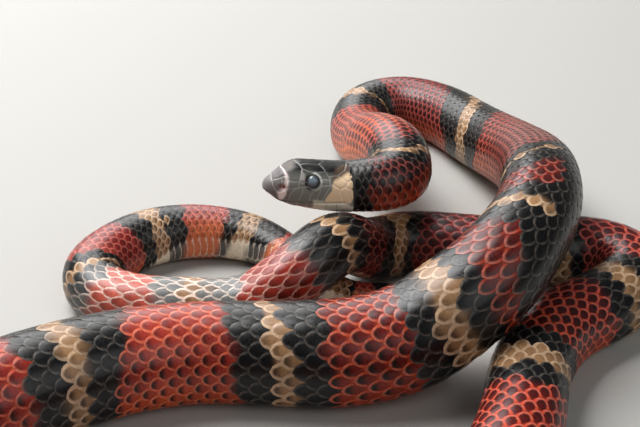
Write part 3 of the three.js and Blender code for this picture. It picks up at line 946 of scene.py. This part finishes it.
# head plates: lines between them as (h, share of the perimeter), one side, mirrored
plates = {
    "seams": [
        [(3.0, 0), (2.8, 0.15), (2.8, 0.25), (3.0, 0.42), (3.5, 0.51), (4.1, 0.55), (4.3, 0.65),
         (4.6, 0.8)],
        [(2.9, 0), (5.9, 0), (8.0, 0), (10.2, 0)],
        [(5.9, 0), (6.2, 0.09), (6.9, 0.22), (7.3, 0.3), (7.5, 0.37)],
        [(2.85, 0.29), (5.0, 0.31), (7.3, 0.3)],
        [(5.8, 0.31), (5.8, 0.43), (5.6, 0.56)],
        [(7.5, 0.37), (7.1, 0.44), (6.6, 0.51), (5.7, 0.56), (4.1, 0.56)],
        [(7.5, 0.37), (8.0, 0.38), (9.2, 0.41), (10.9, 0.41)],
        [(10.2, 0), (10.6, 0.08), (11.3, 0.14), (11.8, 0.19), (12.2, 0.23)],
        [(12.2, 0.23), (11.9, 0.28), (11.7, 0.32), (11.3, 0.37), (10.9, 0.41), (10.8, 0.49)],
        [(10.9, 0.41), (12.0, 0.42), (12.9, 0.41)],
        [(6.6, 0.51), (7.1, 0.51), (8.8, 0.5), (9.8, 0.5), (10.8, 0.49), (12.2, 0.48),
         (13.3, 0.465), (14.3, 0.475), (15.3, 0.48), (16.4, 0.46), (17.5, 0.43), (20.5, 0.41)],
        [(9.8, 0.5), (8.8, 0.55), (8.0, 0.61), (7.8, 0.7)],
        [(12.2, 0.48), (11.9, 0.55), (11.2, 0.62), (10.8, 0.69)],
        [(15.3, 0.48), (15.0, 0.53), (14.2, 0.58), (13.9, 0.66)],
        [(17.5, 0.43), (17.3, 0.5), (16.5, 0.56), (16.1, 0.64)],
        [(20.5, 0.41), (19.7, 0.47), (18.9, 0.53), (18.2, 0.58), (17.8, 0.63)],
        [(19.2, 0.25), (19.8, 0.29), (20.3, 0.32), (20.4, 0.37), (20.5, 0.41)],
        [(17.7, 0.36), (18.7, 0.345), (20.4, 0.35)],
        [(12.2, 0.23), (13.9, 0.265), (15.4, 0.27), (17.1, 0.27), (19.2, 0.25)],
        [(11.5, 0.155), (13.5, 0.125), (15.5, 0.125), (17.3, 0.12), (19.2, 0.0)],
        [(17.3, 0.12), (18.2, 0.17), (19.2, 0.25)],
        [(19.2, 0), (22, 0), (26.2, 0)],
        [(26.2, 0), (26.0, 0.08), (25.6, 0.15), (25.1, 0.21), (23.0, 0.285), (20.3, 0.31)],
        [(21.2, 0.4), (22.4, 0.43), (23.4, 0.45), (23.4, 0.5), (24.0, 0.54), (24.1, 0.6)],
        [(20.5, 0.41), (21.2, 0.4)],
        [(23.4, 0.45), (25.0, 0.42), (25.8, 0.37), (24.2, 0.32), (22.6, 0.295)],
        [(25.8, 0.37), (27.2, 0.34), (28.0, 0.31)],
        [(25.1, 0.21), (26.2, 0.25), (27.2, 0.34)],
        [(25.0, 0.42), (26.5, 0.45), (27.6, 0.45)],
        [(26.5, 0.45), (26.2, 0.53), (26.5, 0.6)],
        [(4.3, 1.0), (4.6, 0.93)],
        [(7.4, 0.76), (7.4, 0.84)], [(10.3, 0.72), (10.3, 0.83)], [(13.2, 0.7), (13.0, 0.82)],
        [(16.2, 0.68), (16.0, 0.8)], [(19.0, 0.65), (18.9, 0.79)], [(22.2, 0.64), (22.2, 0.77)],
        [(4.2, 0.9), (6.0, 0.86), (7.4, 0.84), (10.3, 0.83), (13.0, 0.82), (16.0, 0.8),
         (18.9, 0.79), (22.2, 0.77), (25.5, 0.75)],
        [(4.4, 1.0), (8, 1.0), (12, 1.0), (16.5, 1.0)],
        [(10.6, 1.0), (11.2, 0.9), (10.3, 0.83)], [(16.5, 1.0), (16.8, 0.92), (15.0, 0.81)],
    ],
    "groove": 0.12, "grooveWide": 0.17, "swell": 0.07, "swellRun": 0.5, "lineWide": 0.13,
    "band": [(5.9, 0.0), (6.2, 0.09), (6.9, 0.22), (7.3, 0.3), (7.5, 0.37), (7.1, 0.44),
             (6.5, 0.51), (5.7, 0.56), (4.9, 0.6)],
    "bandWide": (0.2, 0.5), "bandSide": (0.1, 0.5),  # on the crown, and its gain on the side
    # patches of colour: softness of the edge, strength, corners
    "patches": {
        "snoutPale": (0.3, 0.9, [(4.3, 0.56), (7.2, 0.54), (6.8, 0.62), (5.6, 0.74), (4.7, 0.79)]),
        "eyeFront": (0.4, 0.25, [(11.2, 0.4), (12.0, 0.27), (12.9, 0.3), (12.8, 0.4)]),
        "cream": (0.25, 1, [
            (21.2, 0.4), (22.1, 0.32), (22.8, 0.3), (24.0, 0.28), (25.1, 0.21), (26.4, 0.16),
            (28.1, 0.15), (28.4, 0.25), (28.5, 0.34), (28.3, 0.45), (27.6, 0.54), (26.6, 0.62),
            (24.1, 0.62), (18.7, 0.64), (18.8, 0.59), (19.6, 0.54), (20.8, 0.48),
        ]),
        "brown": (0.9, 1, [
            (21.0, 0.36), (22.6, 0.2), (25.1, 0.1), (28.1, 0.08), (28.3, 0.22), (25.5, 0.27),
            (23.2, 0.33),
        ]),
        "snoutBrown": (0.6, 0.7, [
            (6.6, 0.06), (10.2, 0.05), (10.6, 0.12), (8.6, 0.24), (7.2, 0.2),
        ]),
        "jaw": (0.8, 1, [
            (15.3, 0.64), (25.4, 0.6), (26.5, 0.66), (30, 0.75), (30, 1.0), (3, 1.0), (6, 0.9),
            (15, 0.8),
        ]),
    },
    "mouth": {
        "fromSnout": [-1, 1.2, 3.2, 5.2, 8, 14, 19, 24.5],
        "height": [1.6, 0.8, -0.75, -1.8, -2.2, -2.6, -2.9, -2.9],
        "deep": 0.5, "wide": 0.2, "lip": 0.12, "lipAt": (0.7, 0.5), "ends": 24.5,
    },
    "nostril": {"h": 6.0, "f": 0.485, "long": 0.95, "tall": 0.78, "deep": 0.8, "steep": 1.6,
                "pink": 0.9, "rim": 0.08, "rimAt": (1.9, 0.6)},
    "rings": 250, "sides": 240, "tuckFrom": 26.3, "tuckTo": 28.2, "tuck": 0.4,
    "start": 0.12, "end": 29.0, "evenRings": 0.35, "ringPower": 1.35, "tip": 0.1,
    "lineStep": 0.12, "halfRound": 24, "steepest": 0.95, "longest": 30,
}
eyes = {
    "h": 15.4, "height": 4.0, "long": 2.1, "thick": 1.7, "tall": 2.12, "cheek": 0.41, "sunk": 0.77,
    "turn": 8.0, "tilt": 14.0, "disc": 0.9,
    # the opening in the head and, in shares of it, place and width of the groove and the lid
    "opening": (1.9, 1.92), "groove": 0.28, "grooveAt": (0.98, 0.1),
    "lid": 0.14, "lidAt": (1.22, 0.13),
    # the arc round the eye: painted shadow in front of it, and behind it pale plate edges with a
    # painted highlight
    "arcAt": (1.28, 0.16), "arcBehind": (-0.3, 0.5), "arcFront": (0.2, 0.9),
    "brow": 0.22, "browShare": (0.27, 0.035), "browAt": (15.2, 2.6),
}


def densify(points):
    points = np.array(points, float)
    out = []
    for a, b in zip(points[:-1], points[1:]):
        span = math.hypot(b[0] - a[0], (b[1] - a[1]) * plates["halfRound"])
        n = max(2, int(span / plates["lineStep"]))
        out.append(a + (b - a) * (np.arange(n) / n)[:, None])
    return np.vstack(out + [points[-1:]])


# distance in millimetres from each point to the lines, which are on both sides
def lineDistance(local, lines):
    found = []
    for points in lines:
        h, f = densify(points).T
        found += [headLocal(h, f), headLocal(h, -f)]
    tree = pointTree(np.vstack(found))
    return np.array([tree.find(p)[2] for p in local])


# 1 inside a patch given as (h, share), falling to 0 over soft millimetres at its edge
def patchMask(h, f, local, corners, soft):
    f = np.abs(f)
    inside = np.zeros(len(h), bool)
    for (ha, fa), (hb, fb) in zip(corners, corners[1:] + corners[:1]):
        crosses = (fa > f) != (fb > f)
        with np.errstate(divide="ignore", invalid="ignore"):
            at = ha + (f - fa) / (fb - fa if fb != fa else 1e-9) * (hb - ha)
        inside ^= crosses & (h < at)
    away = lineDistance(local, [corners + corners[:1]])
    return smooth(-soft, soft, np.where(inside, away, -away))


def eyePlace(side):
    cheek = gridAt(headPoints, eyes["h"], eyes["cheek"])[1]
    return np.array([head["length"] - eyes["h"], side * (cheek - eyes["sunk"]), eyes["height"]])


# 1 at a place, falling to 0 on both sides of it
def hump(x, place, width):
    return np.exp(-(((x - place) / width) ** 2))


# height of the head's relief, and what its marks are made from: distance to the lines between
# plates, amounts of lip and nostril, distance from the eye and place behind it
def headRelief(h, f, local):
    mouth, hole = plates["mouth"], plates["nostril"]
    seam = lineDistance(local, plates["seams"])
    lift = -plates["groove"] * hump(seam, 0, plates["grooveWide"])
    lift += plates["swell"] * (1 - np.exp(-seam / plates["swellRun"]))
    # the mouth is a groove at its own height on both sides, round the snout
    toMouth = local[:, 2] - along(mouth["fromSnout"], mouth["height"], h)
    steep = np.clip(np.abs(gridAt(headNormals, h, f)[:, 2]), 0, plates["steepest"])
    toMouth = toMouth / np.sqrt(1 - steep**2)
    present = 1 - smooth(mouth["ends"] - 1, mouth["ends"] + 1, h)
    lip = hump(toMouth, 0, mouth["wide"]) * present
    lift += mouth["lip"] * hump(np.abs(toMouth), *mouth["lipAt"]) * present - mouth["deep"] * lip
    # nostrils, and how far each point is from the openings of the eyes
    mark = headLocal(np.array([hole["h"]]), np.array([hole["f"]]))[0]
    pit, rim, behindEye = np.zeros(len(h)), np.full(len(h), 9.0), np.zeros(len(h))
    for side in (1, -1):
        d = local - mark * [1, side, 1]
        away = np.sqrt((d[:, 0] / hole["long"]) ** 2 + (d[:, 1:] ** 2).sum(1) / hole["tall"] ** 2)
        pit = np.maximum(pit, np.exp(-(away**2) * hole["pink"]))
        lift += hole["rim"] * hump(away, *hole["rimAt"])
        lift -= hole["deep"] * np.exp(-(away**2) * hole["steep"])
        d = local - eyePlace(side)
        away = np.hypot(d[:, 0] / eyes["opening"][0], d[:, 2] / eyes["opening"][1])
        away = np.where(np.sign(local[:, 1]) == side, away, 9)
        rim = np.minimum(rim, away)
        behindEye = np.where(away < 3, -d[:, 0] / 2, behindEye)
    # rim of the eye and the brow over it
    lift += eyes["lid"] * hump(rim, *eyes["lidAt"]) - eyes["groove"] * hump(rim, *eyes["grooveAt"])
    lift += eyes["brow"] * hump(np.abs(f), *eyes["browShare"]) * hump(h, *eyes["browAt"])
    lift -= plates["tuck"] * smooth(plates["tuckFrom"], plates["tuckTo"], h)
    return lift, (seam, lip, pit, rim, behindEye)


def makeHead(material):
    t = np.linspace(0, 1, plates["rings"])
    even, start = plates["evenRings"], plates["start"]
    t = even * t + (1 - even) * t ** plates["ringPower"]
    rings = start + (plates["end"] - start) * t
    shares = np.linspace(-1, 1, plates["sides"] + 1)
    h, f = (a.ravel() for a in np.meshgrid(rings, shares, indexing="ij"))
    plain = headLocal(h, f)
    lift, marks = headRelief(h, f, plain)
    local = plain + gridAt(headNormals, h, f) * lift[:, None]
    points = headToWorld(local).reshape(len(rings), len(shares), 3)
    front = drawnIn(points[:1]) - framesAt(0.0)[0] * plates["tip"]
    rounded = (points[:1] + front) / 2
    points = np.concatenate([front, rounded, points, drawnIn(points[-1:])])
    piece = tubeFromGrid("head_skin", points)
    nearest = nearestPoints(piece, points)
    row = np.clip(nearest // len(shares) - 2, 0, len(rings) - 1)
    index = row * len(shares) + nearest % len(shares)
    h, f, plain, seam, lip, pit, rim, behindEye = (v[index] for v in (h, f, plain, *marks))
    patch = {
        name: strength * patchMask(h, f, plain, corners, soft)
        for name, (soft, strength, corners) in plates["patches"].items()
    }
    wide, wider = plates["bandWide"]
    band = lineDistance(plain, [plates["band"]])
    band = hump(band, 0, wide + wider * smooth(*plates["bandSide"], np.abs(f)))
    band = np.maximum(np.maximum(band, patch["snoutPale"]), patch["eyeFront"])
    brown = np.maximum(patch["brown"], patch["snoutBrown"])
    lines = hump(seam, 0, plates["lineWide"]) * (1 - lip)
    # painted light round the eye: pale behind it, partly pale plate edges and partly painted
    # highlight, and painted shadow in front of it
    eyeLightArc = smooth(*eyes["arcBehind"], behindEye) - smooth(*eyes["arcFront"], -behindEye)
    eyeLightArc = 0.5 + 0.5 * eyeLightArc * hump(rim, *eyes["arcAt"])
    for key, values in (
        ("plateMarks", (lines, band, patch["cream"])),
        ("otherMarks", (patch["jaw"], h / plates["longest"], np.abs(f))),
        ("faceMarks", (pit, brown, eyeLightArc)),
    ):
        setAttribute(piece.data, key, np.stack(values, -1))
    piece.data.materials.append(material)
    return piece


# large smooth head plates: glossier than the body, dark grey with pale lines between
def headMaterial():
    material, add = newMaterial("polished head plate keratin")
    (seam, band, cream), (jaw, h, f), (pit, brown, eyeLightArc) = (
        add("SeparateXYZ", None, {0: add("Attribute", {"attribute_name": name})["Vector"]})
        for name in ("plateMarks", "otherMarks", "faceMarks")
    )
    place = add("TexCoord")["Object"]
    mottle, fine = (
        add("TexNoise", {"Scale": scale, "Detail": detail}, {"Vector": place})["Fac"]
        for scale, detail in ((finish["plateMottle"], 4.0), (finish["plateFine"], 2.0))
    )
    snout, crown, patchy, paleEdgeHighlight, shade = (
        add("MapRange", {"From Min": low, "From Max": high}, {"Value": source})[0]
        for source, low, high in (
            (h, 0.33, 0.14), (f, 0.38, 0.24), (mottle, 0.52, 0.68), (eyeLightArc, 0.5, 1.0),
            (eyeLightArc, 0.5, 0.1),
        )
    )
    # each layer lies over the ones before it: amount, then colour
    base = add("RGB")[0]
    base.default_value = (*colour("#7e807a"), 1)
    # the dark layer in front of the eye is painted shadow, and the pale layer behind it a painted
    # highlight over pale plate edges
    for amount, code in (
        (patchy, "#7a7c76"), (crown, "#0e0d0c"), (snout, "#726c6c"), (jaw, "#fbf4de"),
        (cream, "#f0d2ac"), (brown, "#4c3c30"), (shade, "#141212"), (paleEdgeHighlight, "#c8cac4"),
        (band, "#fff0ec"), (pit, "#8c2c28"),
    ):
        base = add("Mix", {"data_type": "RGBA", 7: (*colour(code), 1)}, {0: amount, 6: base})[2]
    # the lines fade on the crown behind the eyes
    faint = add(
        "MapRange", {"From Min": 0.38, "From Max": 0.5, "To Min": 0.75, "To Max": 0.2},
        {"Value": h},
    )[0]
    amount = add("Mix", {"data_type": "FLOAT", 2: 0.75}, {0: crown, 3: faint})[0]
    amount = add("Math", {"operation": "MULTIPLY"}, {0: amount, 1: seam})[0]
    lines = add(
        "Mix",
        {"data_type": "RGBA", 6: (*colour("#bcb8b0"), 1), 7: (*colour("#f0dcc8"), 1)}, {0: cream},
    )[2]
    base = add("Mix", {"data_type": "RGBA"}, {0: amount, 6: base, 7: lines})[2]
    bump = add("Bump", {"Strength": 0.1, "Distance": finish["depth"]}, {"Height": fine})[0]
    rough = add("MapRange", usualNoise | {"To Min": 0.27, "To Max": 0.4}, {"Value": mottle})[0]
    shader = add(
        "BsdfPrincipled", {"IOR": 1.45, "Specular IOR Level": 0.3},
        {"Base Color": base, "Roughness": rough, "Normal": bump},
    )[0]
    add("OutputMaterial", None, {0: shader})
    return material


headPiece = makeHead(headMaterial())
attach(headPiece, "root")
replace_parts(headPiece, "head")


# the clear cap over a clouded eye: blue-grey, brighter in the middle, wet gloss
def eyeMaterial():
    material, add = newMaterial("clouded eye cap")
    place = add("Attribute", {"attribute_name": "eyeDisc"})["Vector"]
    away = add("VectorMath", {"operation": "LENGTH"}, {0: place})["Value"]
    ramp = add("ValToRGB", None, {0: away})[0]
    elements = ramp.node.color_ramp.elements
    elements[0].position, elements[0].color = 0.0, (*colour("#76838f"), 1)
    elements[1].position, elements[1].color = 1.0, (*colour("#23272b"), 1)
    for position, code in ((0.45, "#6c7882"), (0.74, "#4c565f")):
        elements.new(position).color = (*colour(code), 1)
    shader = add(
        "BsdfPrincipled",
        {"IOR": 1.4, "Roughness": 0.25, "Coat Weight": 0.4, "Coat Roughness": 0.12},
        {"Base Color": ramp},
    )[0]
    add("OutputMaterial", None, {0: shader})
    return material


def makeEye(name, side, material):
    bpy.ops.object.select_all(action="DESELECT")
    bpy.ops.mesh.primitive_uv_sphere_add(segments=64, ring_count=40, radius=1)
    piece = bpy.context.object
    piece.name = piece.data.name = name
    mesh = piece.data
    turn = Euler((math.radians(eyes["tilt"] * side), 0, 0)).to_matrix()
    turn = Euler((0, 0, math.radians(-eyes["turn"] * side))).to_matrix() @ turn
    ball = vertexPlaces(mesh)
    local = (ball * [eyes["long"], eyes["thick"], eyes["tall"]]) @ np.array(turn).T
    world = headToWorld(local + eyePlace(side)) * 0.001
    mesh.vertices.foreach_set("co", world.astype(np.float32).ravel())
    setAttribute(mesh, "eyeDisc", ball * [1, 0, 1] / eyes["disc"])
    finishActive()
    mesh.materials.append(material)
    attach(piece, "root")
    return piece


capMaterial = eyeMaterial()
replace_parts(makeEye("eye_ball_left", 1, capMaterial), "eye_left")
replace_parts(makeEye("eye_ball_right", -1, capMaterial), "eye_right")
print("eyes made")


# plain pale floor and soft studio light
studio = {
    "floor": 1.6, "floorColour": "#a4a29e",
    "world": "#ffffff", "worldPower": 0.13,
    "lights": {  # place, size, power
        "key": ((-0.45, 0.35, 0.9), 0.7, 20.0),
        "fill": ((0.6, -0.6, 0.7), 0.9, 3.5),
        "back": ((-0.3, 0.95, 0.6), 0.8, 9.0),
    },
}


def makeStudio():
    bpy.ops.object.select_all(action="DESELECT")
    bpy.ops.mesh.primitive_plane_add(size=studio["floor"] * 2, location=(0, 0, 0))
    floor = bpy.context.object
    floor.name = "floor"
    material, add = newMaterial("matt painted board")
    place = add("TexCoord")["Object"]
    grain = add("TexNoise", {"Scale": 900.0}, {"Vector": place})["Fac"]
    bump = add("Bump", {"Strength": 0.05, "Distance": 0.0002}, {"Height": grain})[0]
    shader = add(
        "BsdfPrincipled",
        {"Base Color": (*colour(studio["floorColour"]), 1), "Roughness": 0.8}, {"Normal": bump},
    )[0]
    add("OutputMaterial", None, {0: shader})
    floor.data.materials.append(material)
    bpy.context.scene.view_settings.view_transform = "Standard"
    world = bpy.data.worlds.new("studio")
    bpy.context.scene.world = world
    world.use_nodes = True
    background = world.node_tree.nodes["Background"].inputs
    background[0].default_value = (*colour(studio["world"]), 1)
    background[1].default_value = studio["worldPower"]
    for name, (place, size, power) in studio["lights"].items():
        bpy.ops.object.light_add(type="AREA", location=place)
        lamp = bpy.context.object
        lamp.name = name
        lamp.data.size = size
        lamp.data.energy = power
        lamp.rotation_euler = (-Vector(place)).to_track_quat("-Z", "Y").to_euler()


makeStudio()
